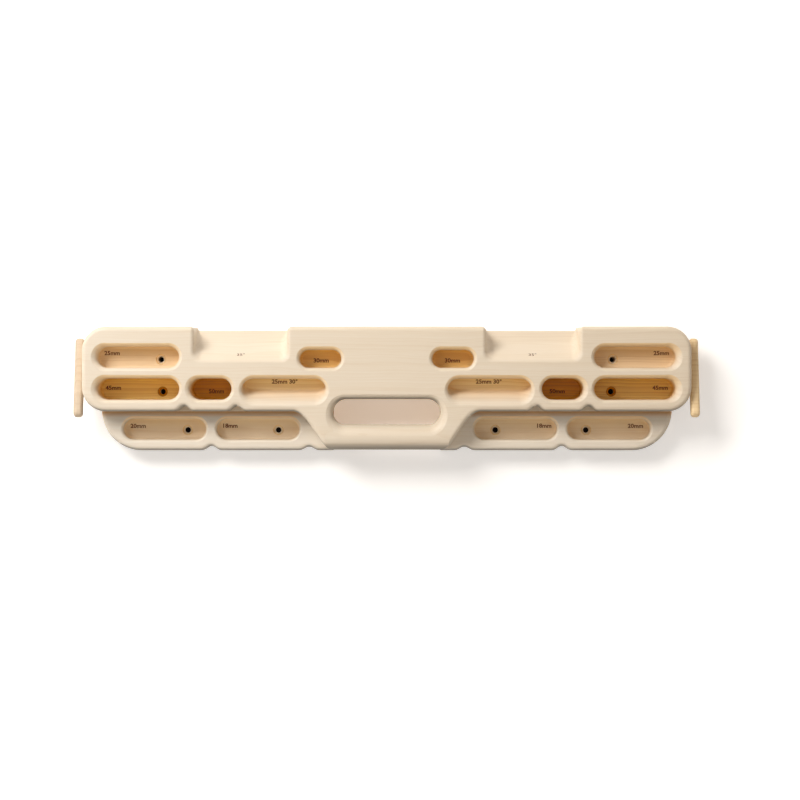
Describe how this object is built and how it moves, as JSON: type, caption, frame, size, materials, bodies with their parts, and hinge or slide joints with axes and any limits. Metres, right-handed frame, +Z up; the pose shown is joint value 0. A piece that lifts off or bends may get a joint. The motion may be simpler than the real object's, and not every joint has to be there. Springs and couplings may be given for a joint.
{
  "type": "hangboard",
  "caption": "Wall-mounted wooden board with finger pockets, two slopers and a round bar grip in two tiers, and a cleat for a stretch band at each end.",
  "frame": {"origin": "middle of the board's back face, which lies flat on the wall, at half the board's height", "axes": "+X to the right of someone who faces the board, +Y into the wall, +Z up"},
  "size_m": [0.721, 0.058, 0.1428],
  "materials": {
    "board_wood": "sanded and oiled, satin",
    "cleat_wood": "sanded and oiled, satin",
    "screw_steel": "zinc-plated"
  },
  "bodies": {
    "root": {"front_top_stave": "board_wood", "front_middle_stave": "board_wood", "front_bar_stave": "board_wood", "back_top_stave": "board_wood", "back_upper_stave": "board_wood", "back_middle_stave_left": "board_wood", "back_middle_stave_right": "board_wood", "back_lower_stave_left": "board_wood", "back_lower_stave_right": "board_wood", "band_cleat_left": "cleat_wood", "band_cleat_right": "cleat_wood", "cleat_screw_lower_left": "screw_steel", "cleat_screw_lower_right": "screw_steel", "cleat_screw_upper_left": "screw_steel", "cleat_screw_upper_right": "screw_steel"}
  },
  "joints": []
}
